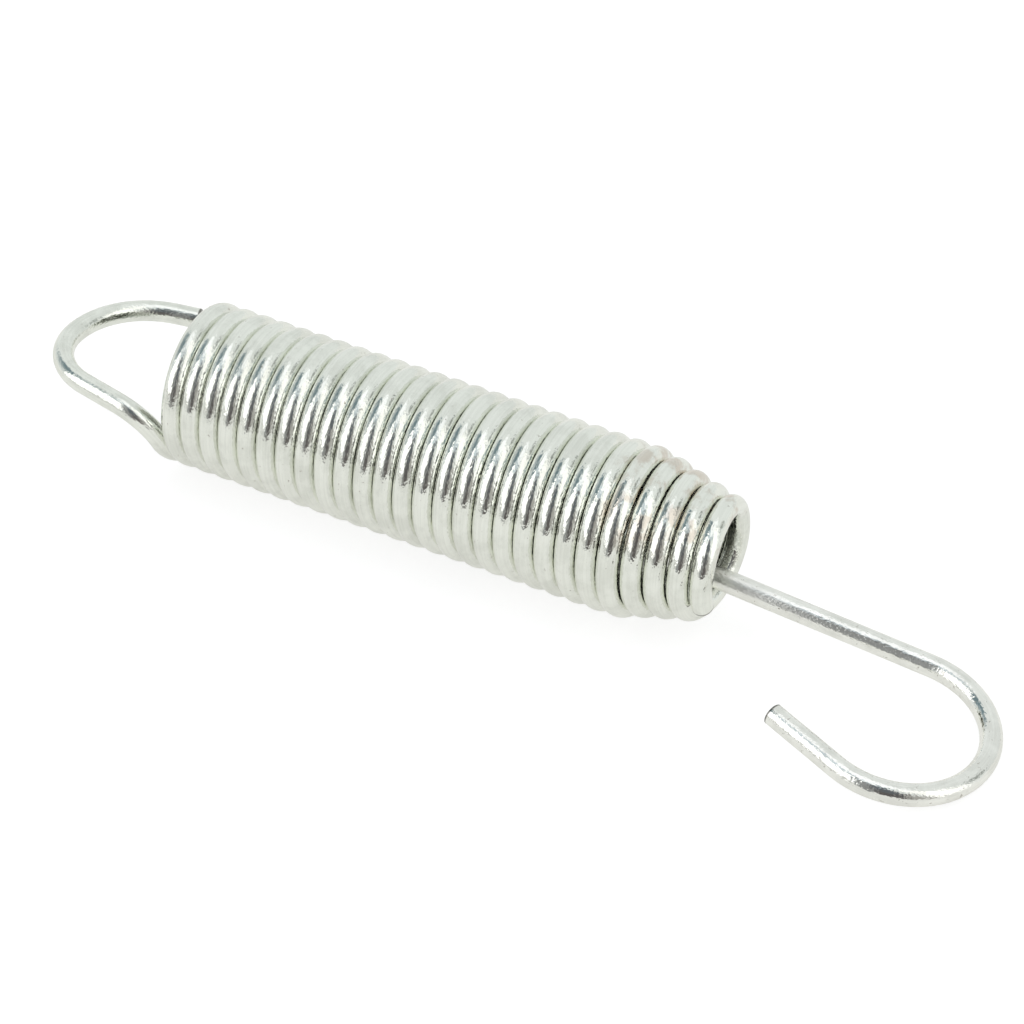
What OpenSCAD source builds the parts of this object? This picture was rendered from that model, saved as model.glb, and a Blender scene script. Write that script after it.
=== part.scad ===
// Extension spring: a close-wound coil with a long open loop at one end. Its other end is reduced to
// a cone, and a separate wire hook swivels in the hole of that cone.
// Both pieces are bent wire. Each is written as a list of bends, as a wire bender works:
// [feed, turn, radius, angle] runs straight for feed, turns the bending plane about the wire by turn,
// and then bends round radius by angle.
// The spring's axis is X, with the hook at +X. Z is up. The origin is the seat of the loop.

/* [Wire] */
// Diameter of the coil's wire
wire_d = 3; // [2.6:0.1:3]
// Diameter of the hook's wire
hook_wire_d = 3; // [2:0.1:3]

/* [Coil] */
// Outer diameter of the plain turns
coil_outer_d = 23.25; // [22.5:0.25:26]
// Gap between neighbouring plain turns
turn_gap = 0.05; // [0.05:0.01:0.5]
// Number of half turns at the full diameter
plain_half_turns = 46; // [36:2:48]

/* [Reduced end] */
// Number of half turns from the full diameter down to the hole
cone_half_turns = 8; // [6:2:8]
// Diameter of the hole in the last turn
hole_d = 10.85; // [10.5:0.05:11.5]
// Gap between neighbouring turns of the cone
cone_gap = 0.09; // [0.08:0.01:0.4]
// How fast the turns shrink at first: 1 is an even cone, less is a rounder shoulder
cone_power = 0.85; // [0.8:0.01:1]
// Angle by which the last turn runs on to its cut end
tail_angle = 26; // [5:1:60]

/* [Loop] */
// Angle below the near side at which the wire leaves the coil
leave_angle = 25.5; // [20:0.5:32]
// Radius of the bend from the coil to the loop's near leg
exit_r = 5.8; // [5:0.1:7]
// Angle of that bend
exit_bend = 86; // [80:1:90]
// Turn of the bending plane into that bend
exit_turn = 84.5; // [80:0.5:90]
// Straight length of the near leg
near_leg = 6.1; // [3:0.1:14]
// Turn of the bending plane from that bend into the loop
loop_turn = -61.7; // [-70:0.1:-50]
// Radius of the loop's bend on the near side
loop_near_r = 8.7; // [8:0.1:10]
// Angle of that bend
loop_near_bend = 79; // [75:1:82]
// Radius of the loop's bend on the far side
loop_far_r = 12.7; // [11.5:0.1:13.5]
// Angle of that bend
loop_far_bend = 76; // [72:0.5:78]
// Straight length of the far leg
far_leg = 3.6; // [0.5:0.1:5]

/* [Hook] */
// Gap between the hook's shank and the last turn
rim_gap = 0.15; // [0.1:0.05:0.4]
// Angle round the hole, from its bottom towards the far side, at which the shank leans
lean_angle = 9; // [-20:1:20]
// Angle by which the shank drops towards the hook
shank_dip = 8.5; // [7:0.1:9.5]
// Angle by which the shank points to the far side
shank_yaw = 4.1; // [2:0.1:6]
// Straight length of the shank outside the hole
shank_out = 29; // [22:0.5:40]
// Radius of the hook's bend
hook_r = 11.8; // [9:0.1:13]
// Angle of the hook's bend
hook_bend = 201.5; // [170:0.5:205]
// Angle by which the hook's plane is turned from level about the shank
hook_tilt = -1.9; // [-5:0.1:5]
// Straight length of the hook's point
hook_point = 11.2; // [4:0.2:14]

/* [Eye inside the coil] */
// Straight length of the shank inside the hole
shank_in = 6.5; // [6:0.1:12]
// Radius of the eye
eye_r = 5.2; // [5:0.05:5.3]
// Radius of the neck between shank and eye
neck_r = 2.5; // [2:0.1:2.9]
// Angle of the neck's bend
neck_bend = 67.2; // [60:0.1:69]
// Gap between the eye's cut end and its neck
eye_gap = 0.8; // [0.4:0.1:3]

/* [Hidden] */

// Facets of preview curves
round_fn = 64;
wire_fn = 24;

// Mean radius of the plain turns and of the last turn
coil_r = (coil_outer_d - wire_d) / 2;
end_r = (hole_d + wire_d) / 2;
half_turns = plain_half_turns + cone_half_turns;

// Share of the cone that is done after half turn k, from 0 to 1
function cone_share(k) = min(max(k - plain_half_turns, 0) / cone_half_turns, 1);
// Mean radius where half turn k starts
function node_r(k) = coil_r - (coil_r - end_r) * pow(cone_share(k), cone_power);
// Width of half turn k across the axis
function half_span(k) = node_r(k) + node_r(k + 1);
// Distance from a turn to its neighbour, measured square to the wire
function turn_step(k) = wire_d + (cone_share(k) > 0 ? cone_gap : turn_gap);
// Advance along the axis in half turn k: what is left of the step once the turn has shrunk
function half_run(k) = sqrt(pow(turn_step(k), 2) - pow(node_r(k - 1) - node_r(k + 1), 2)) / 2;
// Slope and bend radius of half turn k, which is a half circle on a slanted chord
function slope(k) = atan2(half_run(k), half_span(k));
function half_r(k) = sqrt(pow(half_span(k), 2) + pow(half_run(k), 2)) / 2;
// Place along the axis where half turn k starts
function run_to(k) = k <= 0 ? 0 : run_to(k - 1) + half_run(k - 1);

// The coil is bent from its middle, at the near side, out to both ends
mid = 2 * floor(half_turns / 4);
hookward_bends = [
    for (k = [mid : half_turns])
        [0, k == mid ? 0 : slope(k - 1) + slope(k), half_r(k), k == half_turns ? tail_angle : 180]
];
loopward_bends = [
    for (k = [mid - 1 : -1 : 0])
        [0, slope(k) + slope(k + 1), half_r(k), k == 0 ? 180 - leave_angle : 180]
];
loop_bends = [
    [0, exit_turn, exit_r, exit_bend],
    [near_leg, loop_turn, loop_near_r, loop_near_bend],
    [0, 0, loop_far_r, loop_far_bend],
    [far_leg, 0, 0, 0]
];

// Neighbouring plain half turns meet exactly. Any other two pieces stop short of each other, inside a
// ball that is a hair wider than the wire.
joint_gap = 0.05;
joint_swell = 0.01;
plain_turn = 2 * slope(0);
function meets(bends, i) = bends[i][0] == 0 && bends[i][1] == plain_turn && bends[i - 1][3] == 180;
function gap_before(bends, i) = i == 0 || i == len(bends) ? 0 : meets(bends, i) ? 0 : joint_gap;
function arc_angle(length, r) = r > 0 ? length / r * 180 / PI : 0;

// The same bends worked out as a frame: [place, direction, side of the bend]
function spin(v, axis, a) = v * cos(a) + cross(axis, v) * sin(a);
function after(f, b) =
    let (
        p = f[0] + f[1] * b[0],
        n = spin(f[2], f[1], b[1]),
        t = f[1]
    )
    [p + n * b[2] * (1 - cos(b[3])) + t * b[2] * sin(b[3]),
     t * cos(b[3]) + n * sin(b[3]),
     n * cos(b[3]) - t * sin(b[3])];
function reversed(f) = [f[0], -f[1], f[2]];

// An even half turn starts at the near side, heading down. The loop leaves a little below the first one
function near_frame(k) =
    [[run_to(k), -node_r(k), 0], [0, 0, -1], [sin(slope(k)), cos(slope(k)), 0]];
leave_frame = after(near_frame(0), [0, 0, half_r(0), leave_angle]);

// Seat of the loop: the inner side of its bend, at the middle of the two legs
loop_mid = after(after(reversed(leave_frame), loop_bends[0]), loop_bends[1]);
loop_seat = loop_mid[0] + loop_mid[2] * wire_d / 2;
seat_shift = [-loop_seat[0], 0, 0];

// Place of the last turn, and the shank's place in it
last_x = run_to(half_turns);
lean_r = hole_d / 2 - rim_gap - hook_wire_d / 2;
shank_at = [last_x, lean_r * sin(lean_angle), -lean_r * cos(lean_angle)];
shank_dir = [cos(shank_dip) * cos(shank_yaw), cos(shank_dip) * sin(shank_yaw), -sin(shank_dip)];
level = [sin(shank_yaw), -cos(shank_yaw), 0];
hook_start = [shank_at, shank_dir, spin(level, shank_dir, -hook_tilt)];

// The neck bends the wire aside so that the eye closes round the shank's own line
neck_flat = ((neck_r + eye_r) * cos(neck_bend) - neck_r) / sin(neck_bend);
eye_bend = 360 - 2 * asin((hook_wire_d + eye_gap) / (2 * eye_r));
hook_bends = [[shank_out, 0, hook_r, hook_bend], [hook_point, 0, 0, 0]];
eye_bends = [[shank_in, 0, neck_r, neck_bend], [neck_flat, 180, eye_r, eye_bend]];

// Ball in which two pieces of wire end just short of each other
module joint_ball(d) {
    sphere(d = d + 2 * joint_swell, $fn = wire_fn);
}

// A length of bent wire of diameter d from the end of the wire that is at the origin, heads along +Y
// and bends towards -X
module bent_wire(bends, d, i = 0) {
    feed = bends[i][0];
    r = bends[i][2];
    angle = bends[i][3];
    start_gap = gap_before(bends, i);
    first = arc_angle(feed > 0 ? joint_gap : start_gap, r);
    last = arc_angle(gap_before(bends, i + 1), r);
    if (start_gap > 0) joint_ball(d);
    if (feed > 0) rotate([-90, 0, 0]) translate([0, 0, start_gap])
        cylinder(h = feed - start_gap - (angle > 0 ? joint_gap : 0), d = d, $fn = wire_fn);
    if (feed > 0 && angle > 0) translate([0, feed, 0]) joint_ball(d);
    if (angle > 0) translate([0, feed, 0]) rotate([0, bends[i][1], 0]) translate([-r, 0, 0]) {
        rotate([0, 0, first]) rotate_extrude(angle = angle - first - last, $fn = round_fn)
            translate([r, 0]) circle(d = d, $fn = wire_fn);
        if (i + 1 < len(bends)) rotate([0, 0, angle]) translate([r, 0, 0]) bent_wire(bends, d, i + 1);
    }
}

// Puts what is bent from the origin on a frame
module at_frame(f) {
    x = -f[2];
    y = f[1];
    z = cross(x, y);
    multmatrix([
        [x[0], y[0], z[0], f[0][0]],
        [x[1], y[1], z[1], f[0][1]],
        [x[2], y[2], z[2], f[0][2]]
    ]) children();
}

// Coil, cone and loop: one wire
module coil_body() {
    color("gainsboro") translate(seat_shift) at_frame(near_frame(mid)) {
        bent_wire(hookward_bends, wire_d);
        rotate([180, 0, 0]) bent_wire(concat(loopward_bends, loop_bends), wire_d);
    }
}

// Hook, shank and the eye that keeps it in the coil: one wire
module swivel_hook() {
    color("silver") translate(seat_shift) at_frame(hook_start) {
        bent_wire(hook_bends, hook_wire_d);
        rotate([180, 0, 0]) bent_wire(eye_bends, hook_wire_d);
    }
}

coil_body();
swivel_hook();
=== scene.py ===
# %% [markdown]
# # Extension spring with a swivelling hook
# The real object is two pieces of zinc-plated wire. The first is wound into a close coil, with a
# long open loop at one end and a cone at the other. The second is a hook that turns in the hole of
# the cone. We bend both wires again here, finely enough that their mirror-like surface looks
# smooth, and let them stand for the CAD solids.

# %% Load the frame
import math

import bpy
from mathutils import Matrix, Quaternion, Vector


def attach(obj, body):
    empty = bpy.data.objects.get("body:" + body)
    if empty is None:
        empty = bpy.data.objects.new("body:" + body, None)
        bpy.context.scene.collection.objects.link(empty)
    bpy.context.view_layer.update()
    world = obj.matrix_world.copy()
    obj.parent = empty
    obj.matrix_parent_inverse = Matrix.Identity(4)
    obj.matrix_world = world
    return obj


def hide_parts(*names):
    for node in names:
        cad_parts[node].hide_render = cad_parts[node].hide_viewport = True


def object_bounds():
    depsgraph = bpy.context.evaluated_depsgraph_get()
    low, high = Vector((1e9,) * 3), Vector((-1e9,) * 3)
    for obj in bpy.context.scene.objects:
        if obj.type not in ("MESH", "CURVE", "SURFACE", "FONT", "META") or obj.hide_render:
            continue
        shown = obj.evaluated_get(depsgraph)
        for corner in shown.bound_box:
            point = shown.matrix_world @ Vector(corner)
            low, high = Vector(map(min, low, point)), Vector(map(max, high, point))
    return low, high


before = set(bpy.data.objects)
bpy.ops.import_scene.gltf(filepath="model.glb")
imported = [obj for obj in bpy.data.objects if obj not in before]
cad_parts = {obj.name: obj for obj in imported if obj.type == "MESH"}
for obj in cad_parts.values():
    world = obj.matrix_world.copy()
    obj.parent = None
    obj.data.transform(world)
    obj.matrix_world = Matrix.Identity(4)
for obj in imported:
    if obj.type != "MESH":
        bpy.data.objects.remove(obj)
cad_low, cad_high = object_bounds()
MM = 0.001
print("CAD box in mm:", [round((high - low) / MM, 1) for low, high in zip(cad_low, cad_high)])

# %% [markdown]
# ## Sizes of the coil
# A spring is drawn by its wire, its outside and its number of turns. All lengths are in millimetres
# and all angles in degrees, as in the CAD model, and become metres and radians where Blender needs
# them.

# %% Sizes of the coil
wire_d = 3.0
coil_outer_d = 23.25
hole_d = 10.85
turn_gap = 0.05
cone_gap = 0.09
# 1 is an even cone, and less gives it a rounder shoulder.
cone_power = 0.85
plain_half_turns = 46
cone_half_turns = 8
half_turns = plain_half_turns + cone_half_turns
coil_mean_r = (coil_outer_d - wire_d) / 2
hole_mean_r = (hole_d + wire_d) / 2
print("turns:", half_turns / 2, "with mean radius", coil_mean_r, "mm")

# %% [markdown]
# ## A coil made of half circles
# A helix is no curve that a bender can set. Half circles on slanted chords come within a few
# hundredths of a millimetre of it, and each one is a single bend. In the cone each half turn is a
# little narrower than the one before, and it advances just enough to lie against its neighbour.

# %% Half turns
def cone_share(k):
    """How much of the cone is done after half turn k, from 0 to 1."""
    return min(max(k - plain_half_turns, 0) / cone_half_turns, 1)


def turn_r(k):
    """Mean radius where half turn k starts."""
    return coil_mean_r - (coil_mean_r - hole_mean_r) * cone_share(k) ** cone_power


def half_run(k):
    """Advance along the axis in half turn k."""
    step = wire_d + (cone_gap if cone_share(k) > 0 else turn_gap)
    return math.sqrt(step ** 2 - (turn_r(k - 1) - turn_r(k + 1)) ** 2) / 2


def half_span(k):
    """Width of half turn k across the axis."""
    return turn_r(k) + turn_r(k + 1)


def half_r(k):
    """Radius of half turn k, measured in its own slanted plane."""
    return math.hypot(half_span(k), half_run(k)) / 2


def slope(k):
    """Slant of half turn k against a square cut through the coil."""
    return math.degrees(math.atan2(half_run(k), half_span(k)))


print("slope of a plain turn:", round(slope(0), 2), "degrees")

# %% [markdown]
# ## Wire bending as a list of bends
# A wire bender feeds the wire, turns it about its own line, and bends it round a radius. Each row
# below is (feed, turn, radius, angle). Each wire is bent from one point on it out to both ends, so
# it has two lists: the coil and its loop, the hook and the eye that holds it inside the coil.

# %% The lists of bends
leave_angle = 25.5
tail_angle = 26
coil_bends = [(0, 0, half_r(0), 180 - leave_angle)]
for k in range(1, half_turns + 1):
    angle = tail_angle if k == half_turns else 180
    coil_bends.append((0, slope(k - 1) + slope(k), half_r(k), angle))

loop_bends = [
    (0, 84.5, 5.8, 86),       # out of the coil
    (6.1, -61.7, 8.7, 79),    # near leg, and the near side of the loop
    (0, 0, 12.7, 76),         # far side of the loop
    (3.6, 0, 0, 0),           # far leg
]
hook_bends = [
    (29, 0, 11.8, 201.5),     # shank and hook
    (11.2, 0, 0, 0),          # point
]

neck_r, neck_bend = 2.5, 67.2
eye_r, eye_gap = 5.2, 0.8
neck_angle = math.radians(neck_bend)
neck_flat = ((neck_r + eye_r) * math.cos(neck_angle) - neck_r) / math.sin(neck_angle)
eye_bend = 360 - 2 * math.degrees(math.asin((wire_d + eye_gap) / (2 * eye_r)))
eye_bends = [(6.5, 0, neck_r, neck_bend), (neck_flat, 180, eye_r, eye_bend)]
print("bends in the coil:", len(coil_bends), "eye closes through", round(eye_bend), "degrees")

# %% [markdown]
# ## Where the coil's wire starts
# A place on the wire is a point, a heading and the side that the next bend goes to. `after` carries
# those three past one row of a list. The wire starts where the loop leaves the first turn, and the
# whole coil is then moved along its axis until the seat of the loop is at zero, as in the CAD
# model.

# %% Follow the wire past one bend
def after(place, bend):
    """The place at the end of one row of a list."""
    point, heading, side = place
    length, turn, radius, angle = bend
    side = Quaternion(heading, math.radians(turn)) @ side
    a = math.radians(angle)
    point = (point + heading * length + side * radius * (1 - math.cos(a))
             + heading * radius * math.sin(a))
    return (point, heading * math.cos(a) + side * math.sin(a),
            side * math.cos(a) - heading * math.sin(a))


def turned_round(place):
    """The same place, seen by a wire that runs the other way."""
    return place[0], -place[1], place[2]


tilt = math.radians(slope(0))
near_side = (Vector((0, -coil_mean_r, 0)), Vector((0, 0, -1)),
             Vector((math.sin(tilt), math.cos(tilt), 0)))
leave = after(near_side, (0, 0, half_r(0), leave_angle))
loop_middle = after(after(turned_round(leave), loop_bends[0]), loop_bends[1])
loop_seat = loop_middle[0] + loop_middle[2] * wire_d / 2
to_seat = Vector((-loop_seat.x, 0, 0))
leave = (leave[0] + to_seat, leave[1], leave[2])
print("the loop leaves the coil at", [round(c, 2) for c in leave[0]], "mm")

# %% [markdown]
# ## Where the hook's wire starts
# The shank leans on the rim of the hole, a little towards the far side, and dips towards the hook.
# Its wire starts in the hole: the hook is bent one way from there and the hidden eye the other way.

# %% Where the hook's wire starts
shank_dip, shank_yaw, lean_angle, hook_tilt = (math.radians(a) for a in (8.5, 4.1, 9, 1.9))
rim_gap = 0.15
lean_r = hole_d / 2 - rim_gap - wire_d / 2
hole_x = sum(half_run(k) for k in range(half_turns))
shank_point = to_seat + Vector((hole_x, lean_r * math.sin(lean_angle),
                                -lean_r * math.cos(lean_angle)))
shank_heading = Vector((math.cos(shank_dip) * math.cos(shank_yaw),
                        math.cos(shank_dip) * math.sin(shank_yaw), -math.sin(shank_dip)))
level_side = Vector((math.sin(shank_yaw), -math.cos(shank_yaw), 0))
shank = (shank_point, shank_heading, Quaternion(shank_heading, hook_tilt) @ level_side)
print("hole of the cone at x =", round(shank_point.x, 2), "mm")

# %% [markdown]
# ## The place of each point in the straight wire
# Drawing leaves its streaks along the wire, and they follow it round every bend. So each point
# keeps the place that it had while the wire was straight, as an attribute that the finish reads
# later. A pattern made from it has no seam and never stretches. Measuring how far each point is
# from the middle of the wire also tells us how round the wire came out.

# %% Keep the straight place
ring_points = 32
# A hair under the CAD model's wire, so that these rounder rings stay inside its box.
ring_r = wire_d / 2 - 0.007


def keep_straight_place(piece, rings, way):
    """Stores each point's length along and places across. Gives the worst fault in roundness."""
    store = piece.data.attributes.new("straight", "FLOAT_VECTOR", "POINT")
    worst = 0.0
    for i, vertex in enumerate(piece.data.vertices):
        along, centre, first, second = rings[i // ring_points]
        off = vertex.co / MM - centre
        worst = max(worst, abs(off.length - ring_r))
        store.data[i].vector = (way * along * MM, off.dot(first) * MM, way * off.dot(second) * MM)
    return worst


def standing(x, y, z, place):
    """The matrix that stands an object at a place, with its own axes along x, y and z."""
    return Matrix([*((x[i], y[i], z[i], place[i]) for i in range(3)), (0, 0, 0, 1)])


print("ring points:", ring_points, "at radius", round(ring_r, 3), "mm")

# %% [markdown]
# ## One row of the list, bent with Extrude and Spin
# A curve with a bevel would give a tube too, but Spin is exactly what a bender does: it sweeps the
# open ring at the wire's end round a centre. For each row we start from a circle without a face,
# extrude it along the straight and spin it round the bend. Short pieces stay quick, where one long
# mesh would get slower with every turn.

# %% Bend one row
feed_step = 1.5
spin_step = 5.6


def bend_row(place, mark, along, row, way):
    """The piece of wire that one row makes, and where the wire's end is then."""
    point, heading, side = place
    length, turn, radius, angle = row
    across = heading.cross(mark)
    bpy.ops.object.select_all(action="DESELECT")
    bpy.ops.mesh.primitive_circle_add(vertices=ring_points, radius=ring_r * MM, fill_type="NOTHING")
    piece = bpy.context.object
    piece.matrix_world = standing(mark, across, heading, [c * MM for c in point])
    bpy.ops.object.transform_apply(location=True, rotation=True, scale=True)
    bpy.ops.object.mode_set(mode="EDIT")
    bpy.ops.mesh.select_mode(type="EDGE")
    bpy.ops.mesh.select_all(action="SELECT")
    rings = [(along, point, mark, across)]
    side = Quaternion(heading, math.radians(turn)) @ side
    feeds = max(1, round(length / feed_step)) if length else 0
    for _ in range(feeds):
        step = length / feeds
        bpy.ops.mesh.extrude_edges_move(TRANSFORM_OT_translate={"value": heading * (step * MM)})
        along, point = along + step, point + heading * step
        rings.append((along, point, mark, across))
    if angle:
        steps = max(3, round(angle / spin_step))
        centre, axle = point + side * radius, heading.cross(side)
        # Spin turns clockwise about its axis, so the axle is given reversed.
        bpy.ops.mesh.spin(steps=steps, angle=math.radians(angle), center=centre * MM, axis=-axle,
                          use_auto_merge=False)
        swing = Quaternion(axle, math.radians(angle) / steps)
        for _ in range(steps):
            point = centre + swing @ (point - centre)
            heading, side, mark = swing @ heading, swing @ side, swing @ mark
            along += radius * math.radians(angle) / steps
            rings.append((along, point, mark, heading.cross(mark)))
    bpy.ops.object.mode_set(mode="OBJECT")
    return piece, keep_straight_place(piece, rings, way), (point, heading, side), mark, along


print("straights in steps of", feed_step, "mm, bends in steps of", spin_step, "degrees")

# %% [markdown]
# ## The two wires
# The pieces of one wire share their end rings, so joining them and merging the doubles gives one
# tube. Both cut ends get a face with the small round that a cutter leaves. The ends are found as
# the open edges that are left, so nothing has to know where they are.

# %% Join the rows to a wire
merge_within = 0.00002
cut_round = 0.00018
crisp_above = math.radians(40)


def close_ends():
    """Merges the pieces' rings, and gives both open ends a face with a rounded edge."""
    bpy.ops.mesh.select_mode(type="VERT")
    bpy.ops.mesh.select_all(action="SELECT")
    bpy.ops.mesh.remove_doubles(threshold=merge_within)
    bpy.ops.mesh.select_mode(type="EDGE")
    bpy.ops.mesh.select_all(action="DESELECT")
    bpy.ops.mesh.select_non_manifold(extend=False, use_boundary=True, use_verts=False,
                                     use_wire=False, use_multi_face=False,
                                     use_non_contiguous=False)
    bpy.ops.mesh.edge_face_add()
    bpy.ops.mesh.region_to_loop()
    bpy.ops.mesh.bevel(offset=cut_round, offset_type="OFFSET", segments=3, affect="EDGES")
    bpy.ops.mesh.select_all(action="SELECT")
    bpy.ops.mesh.normals_make_consistent(inside=False)


def whole_wire(name, start, forward, backward):
    """One wire, with rows that run forward from its start and rows that run backward from it."""
    pieces, fault = [], 0.0
    for place, rows, way in ((start, forward, 1), (turned_round(start), backward, -1)):
        mark, along = start[2], 0.0
        for row in rows:
            piece, off, place, mark, along = bend_row(place, mark, along, row, way)
            pieces.append(piece)
            fault = max(fault, off)
    bpy.ops.object.select_all(action="DESELECT")
    for piece in pieces:
        piece.select_set(True)
    wire = pieces[0]
    bpy.context.view_layer.objects.active = wire
    bpy.ops.object.join()
    wire.name = name
    bpy.ops.object.mode_set(mode="EDIT")
    close_ends()
    bpy.ops.object.mode_set(mode="OBJECT")
    bpy.ops.object.shade_smooth_by_angle(angle=crisp_above)
    print(name, len(pieces), "pieces,", len(wire.data.polygons), "faces, round within",
          round(fault, 5), "mm")
    return wire


print("rings closer than", round(merge_within / MM, 3), "mm merge")

# %% [markdown]
# ## Each wire on its own body
# The coil with its loop stays still and the hook with its eye turns, so each rides on its own body
# and stands for its own CAD solid.

# %% Build the coil with its loop, and the hook with its eye
coil_wire = whole_wire("coil_wire", leave, coil_bends, loop_bends)
hook_wire = whole_wire("hook_wire", shank, hook_bends, eye_bends)
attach(coil_wire, "coil")
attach(hook_wire, "hook")
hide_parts("coil_body")
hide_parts("swivel_hook")

# %% [markdown]
# ## Writing shader maths as Python
# A small class wraps a node's output, so that `1 - mask * 0.5` adds its Math nodes by itself. Every
# node comes from one method, which sets the node's options before its inputs, because an option
# such as the kind of data decides which inputs the node has.

# %% The socket wrapper
class Socket:
    """One output of a node, with the arithmetic that the finishes and the room use."""

    def __init__(self, tree, socket):
        self.tree, self.socket = tree, socket

    @classmethod
    def make(cls, tree, kind, settings=None, inputs=None, out=0):
        """A new node: its settings, then its inputs by name or number. Gives the output out."""
        node = tree.nodes.new(kind)
        for name, value in (settings or {}).items():
            setattr(node, name, value)
        for name, value in (inputs or {}).items():
            feed(tree, pick(node.inputs, name), value)
        return cls(tree, pick(node.outputs, out)) if node.outputs else None

    def math(self, operation, a, b=0.0):
        return Socket.make(self.tree, "ShaderNodeMath", {"operation": operation}, {0: a, 1: b})

    def __add__(self, other):
        return self.math("ADD", self, other)

    def __sub__(self, other):
        return self.math("SUBTRACT", self, other)

    def __rsub__(self, other):
        return self.math("SUBTRACT", other, self)

    def __mul__(self, other):
        return self.math("MULTIPLY", self, other)

    __radd__ = __add__
    __rmul__ = __mul__

    def ramp(self, low, high):
        """0 below low and 1 above high, with a soft step between."""
        return Socket.make(self.tree, "ShaderNodeMapRange", {"interpolation_type": "SMOOTHSTEP"},
                           {"Value": self, "From Min": low, "From Max": high})

    def blend(self, low, high):
        """A colour that is low where this is 0 and high where it is 1."""
        return Socket.make(self.tree, "ShaderNodeMix", {"data_type": "RGBA"},
                           {0: self, 6: low, 7: high}, 2)

    def axes(self):
        """The X, Y and Z of this vector."""
        x = Socket.make(self.tree, "ShaderNodeSeparateXYZ", {}, {"Vector": self})
        return [Socket(self.tree, socket) for socket in x.socket.node.outputs]


def pick(sockets, name):
    """A socket by its number, or the first one in use with that name."""
    if isinstance(name, int):
        return sockets[name]
    return next(s for s in sockets if s.enabled and s.name == name)


def feed(tree, slot, value):
    """Links an output to an input, or sets the input's own value."""
    if isinstance(value, Socket):
        tree.links.new(value.socket, slot)
    elif slot.type == "RGBA":
        slot.default_value = (*value, 1)
    else:
        slot.default_value = value


print("socket wrapper ready")

# %% [markdown]
# ## Bright zinc on drawn wire
# Plated spring wire is a soft mirror. Drawing leaves fine streaks along it, the plating mottles it
# a little, and handling leaves small dull spots. Faint brown smudges lie on top of the cone's
# turns. Both cut ends of each wire are darkened with painted shade, which stands in for the shadow
# in the gap beside the coil's cut end. Roughness makes the edges of reflections crisp or soft, and
# a fine bump of a few hundredths of a millimetre breaks them up into specks. A noise's scale is per
# metre, so 2200 means specks of about half a millimetre.

# %% The zinc finish
spot_brown = (0.26, 0.22, 0.17)
smudge_brown = (0.60, 0.47, 0.38)
# Painted shade: the dark colour laid on both cut ends, for the shadowed gap beside the coil's cut
# end.
cut_end_shade_colour = (0.14, 0.135, 0.12)
# In metres: where the smudges set in along the cone and above the axis, and where the painted
# shade at a cut end fades.
cone_from, cone_to = 0.082, 0.088
top_from, top_to = 0.003, 0.007
cut_full, cut_gone = 0.0002, 0.0004


def noise(tree, place, stretch, scale, detail, roughness):
    """A noise in the straight wire, stretched by a different scale for each of its axes."""
    if stretch:
        place = Socket.make(tree, "ShaderNodeMapping", {}, {"Vector": place, "Scale": stretch})
    return Socket.make(tree, "ShaderNodeTexNoise", {},
                       {"Vector": place, "Scale": scale, "Detail": detail, "Roughness": roughness})


def zinc(name, wire, pale, dull, rough, blur, spots, deep, worn_from, worn_to, worn_rough):
    """The finish of one wire. It is worn where the straight wire's length is below worn_from."""
    material = bpy.data.materials.new(name)
    material.use_nodes = True
    tree = material.node_tree
    place = Socket.make(tree, "ShaderNodeAttribute", {"attribute_name": "straight"}, {}, "Vector")
    along = place.axes()[0]
    x, _, z = Socket.make(tree, "ShaderNodeTexCoord", {}, {}, "Object").axes()
    lines = noise(tree, place, (110, 2800, 2800), 1.0, 2.0, 0.6)
    fine = noise(tree, place, (2200, 3900, 3900), 1.0, 1.0, 0.5)
    cloud = noise(tree, place, None, 330.0, 4.0, 0.6)
    grain = noise(tree, place, None, 1500.0, 3.0, 0.7)
    streaks, mottle = lines.ramp(0.36, 0.64), cloud.ramp(0.38, 0.66)
    speck = grain.ramp(spots, spots + 0.05)
    smudge = cloud.ramp(0.48, 0.62) * x.ramp(cone_from, cone_to) * z.ramp(top_from, top_to)
    worn = 1 - along.ramp(worn_from, worn_to)
    lengths = [item.vector[0] for item in wire.data.attributes["straight"].data]
    first, last = min(lengths), max(lengths)
    # Painted shade: a mask that is 1 at both cut ends of the wire and fades out along it.
    cut_end_shade = (along.ramp(last - cut_gone, last - cut_full) + 1
           - along.ramp(first + cut_full, first + cut_gone))

    base = (mottle * 0.65 + streaks * 0.35).blend(pale, dull)
    base = (smudge * 0.45).blend(base, smudge_brown)
    base = (speck * (worn * 0.4 + 0.5)).blend(base, spot_brown)
    # Painted shade darkens the base colour at both cut ends.
    base = (cut_end_shade * 0.9).blend(base, cut_end_shade_colour)
    roughness = streaks * blur + mottle * blur + speck * 0.2 + worn * worn_rough + rough
    bump = Socket.make(tree, "ShaderNodeBump", {},
                       {"Strength": 1.0, "Distance": deep, "Height": lines * 0.2 + fine * 0.8})
    shader = tree.nodes["Principled BSDF"]
    for slot, value in {"Base Color": base, "Metallic": 1.0, "Roughness": roughness,
                        "Normal": bump}.items():
        feed(tree, shader.inputs[slot], value)
    wire.data.materials.clear()
    wire.data.materials.append(material)
    print(name, "has", len(tree.nodes), "nodes, for", round((last - first) / MM), "mm of wire")


print("smudges set in between x =", cone_from / MM, "and", cone_to / MM, "mm")

# %% [markdown]
# ## One finish, two wires
# The coil's zinc is bright and faintly green, and it mirrors a little more softly towards the loop.
# The hook's is whiter and has more spots, and its shank is dull where it has rubbed in the hole,
# over the first two centimetres.

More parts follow.
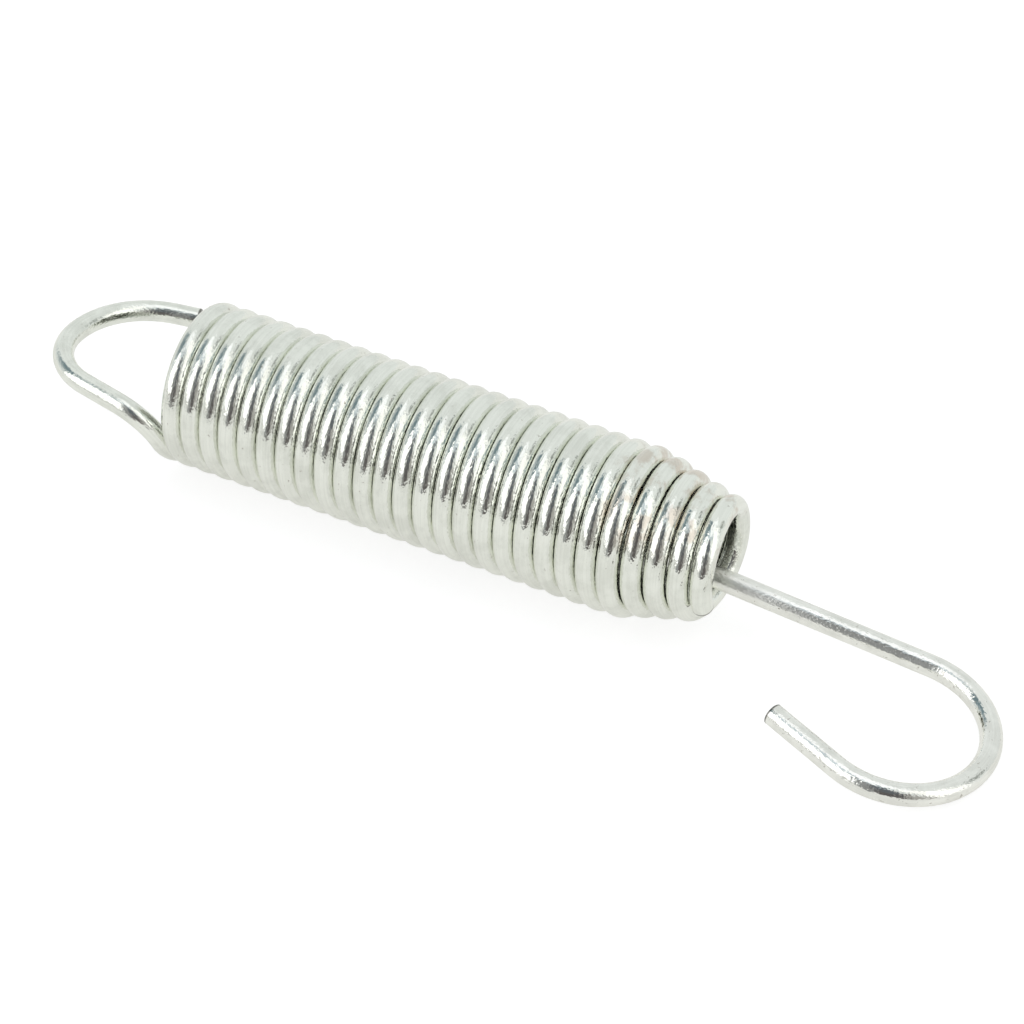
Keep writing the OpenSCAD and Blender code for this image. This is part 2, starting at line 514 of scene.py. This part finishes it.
# %% Give both wires their zinc
zinc("bright_zinc", coil_wire, pale=(0.905, 0.92, 0.865), dull=(0.77, 0.785, 0.73), rough=0.035,
     blur=0.035, spots=0.68, deep=0.00005, worn_from=0.2, worn_to=1.5, worn_rough=0.08)
zinc("satin_zinc", hook_wire, pale=(0.95, 0.95, 0.91), dull=(0.80, 0.80, 0.76), rough=0.02,
     blur=0.03, spots=0.64, deep=0.00005, worn_from=0.002, worn_to=0.022, worn_rough=0.28)

# %% [markdown]
# ## The room that the metal mirrors
# Bright metal shows its surroundings more than its own colour. The turns mirror a white table, a
# large softbox, a bright ceiling and, between them, the dark side of the room behind the camera.
# Lamps alone can't give such a reflection, so we paint the room in the world, by direction. It
# stays still when the camera moves.
#
# A direction is a turn round the horizon, from the near side towards the hook, and a rise above it,
# both in degrees.

# %% Directions in the room
world = bpy.data.worlds.new("studio_room")
bpy.context.scene.world = world
world.use_nodes = True
room = world.node_tree
room.nodes.clear()
degrees = 180 / math.pi
east, north, height = Socket.make(room, "ShaderNodeTexCoord", {}, {}, "Generated").axes()
turn = east.math("ARCTAN2", east, north * -1.0) * degrees
rise = height.math("ARCSINE", height) * degrees


def patch(left, right, low, high, soft_side, soft_edge):
    """A soft-edged patch of the room, between two turns and two rises."""
    return (turn.ramp(left, left + soft_side) * (1 - turn.ramp(right - soft_side, right))
            * rise.ramp(low, low + soft_edge) * (1 - rise.ramp(high - soft_edge, high)))


print("room nodes for the directions:", len(room.nodes))

# %% [markdown]
# ## Paint the room
# Each layer below covers part of the ones before it. Last of all, the camera's own rays see plain
# white in place of the room, which gives the white background without more light on the object.

# %% The room's layers
wall_edge = turn - (78.0 - rise * 0.62)
wall_height = rise.ramp(-4, -1) * (1 - rise.ramp(58, 72))
wall = turn.ramp(-14, -2) * (1 - wall_edge.ramp(-8, 4)) * wall_height
wall_colour = turn.ramp(2, 20).blend((0.26, 0.265, 0.27), (0.42, 0.41, 0.39))
darkness = turn.ramp(4, 18) * (1 - turn.ramp(34, 50)) * wall_height
dark_colour = rise.ramp(8, 55).blend((0.105, 0.095, 0.095), (0.105, 0.125, 0.145))

blue_wall = patch(-84, 60, 58, 78, 20, 8)
window = patch(58, 112, -2, 76, 16, 8)
corner = patch(-113, -58, -60, 70, 10, 16) * rise.ramp(2, 46)
sill = patch(-66, 6, -2, 14, 10, 4)
softbox = patch(-70, -8, 8, 61, 6, 4)
doorway = patch(106, 132, 10, 46, 10, 14)

seen = rise.ramp(66, 80).blend((0.80, 0.83, 0.82), (1.15, 1.17, 1.20))
for layer, colour in ((blue_wall * 0.6, (0.44, 0.56, 0.66)), (window, (1.25, 1.25, 1.22)),
                      (corner * 0.92, (0.125, 0.195, 0.225)), (sill * 0.35, (0.36, 0.32, 0.28)),
                      (softbox, (1.5, 1.5, 1.5)), (doorway * 0.85, (0.26, 0.28, 0.26)),
                      (wall * 0.95, wall_colour), (darkness * 0.95, dark_colour)):
    seen = layer.blend(seen, colour)
to_camera = Socket.make(room, "ShaderNodeLightPath", out="Is Camera Ray")
seen = to_camera.blend(seen, (1.0, 1.0, 1.0))
background = Socket.make(room, "ShaderNodeBackground", {}, {"Color": seen, "Strength": 1.0})
Socket.make(room, "ShaderNodeOutputWorld", {}, {"Surface": background})
print("room nodes:", len(room.nodes))

# %% [markdown]
# ## The white table
# The table is plain white paper. It must light the lower half of the wire from below and keep the
# soft shadow, and still look as white as the backdrop. So the paper itself is darker, and rays from
# the camera and from mirror-like metal see an added glow.

# %% The table
table_size = 6.0
table_z = cad_low[2] - 0.00003
bpy.ops.object.select_all(action="DESELECT")
bpy.ops.mesh.primitive_plane_add(size=table_size, location=(0.07, 0, table_z))
table = bpy.context.object
table.name = "white_table"
paper = bpy.data.materials.new("white_paper")
paper.use_nodes = True
tree = paper.node_tree
to_metal = Socket.make(tree, "ShaderNodeLightPath", out="Is Glossy Ray")
to_camera = Socket.make(tree, "ShaderNodeLightPath", out="Is Camera Ray")
glow = to_metal.blend((0.0, 0.0, 0.0), (0.56, 0.56, 0.535))
glow = to_camera.blend(glow, (0.79, 0.79, 0.79))
for slot, value in {"Base Color": (0.36, 0.36, 0.36), "Roughness": 1.0, "Specular IOR Level": 0.0,
                    "Emission Color": glow, "Emission Strength": 1.0}.items():
    feed(tree, tree.nodes["Principled BSDF"].inputs[slot], value)
table.data.materials.append(paper)
print("table at z =", round(table_z / MM, 2), "mm")

# %% [markdown]
# ## Camera
# The photograph is taken from above and a little to the hook's side, through a long lens, so the
# coil hardly tapers with distance. Distance and lens come from fitting the gaps between the turns.

# %% The camera
azimuth, elevation, roll = (math.radians(a) for a in (29.256, 38.733, -0.277))
lens_mm, sensor_mm = 120.24, 36
distance = 458.55
look_at = Vector((50.507 + to_seat.x, 0, -4.04))
away = Vector((math.sin(azimuth) * math.cos(elevation), -math.cos(azimuth) * math.cos(elevation),
               math.sin(elevation)))
right = Vector((math.cos(azimuth), math.sin(azimuth), 0))
up = away.cross(right)
right, up = (right * math.cos(roll) + up * math.sin(roll),
             up * math.cos(roll) - right * math.sin(roll))
eye = (look_at + away * distance) * MM
lens = bpy.data.cameras.new("long_lens")
lens.lens = lens_mm
lens.sensor_width = sensor_mm
lens.clip_start = 0.01
camera = bpy.data.objects.new("camera", lens)
bpy.context.collection.objects.link(camera)
camera.matrix_world = standing(right, up, away, eye)
bpy.context.scene.camera = camera
bpy.context.scene.view_settings.view_transform = "Standard"
print("camera at", [round(c, 3) for c in eye])
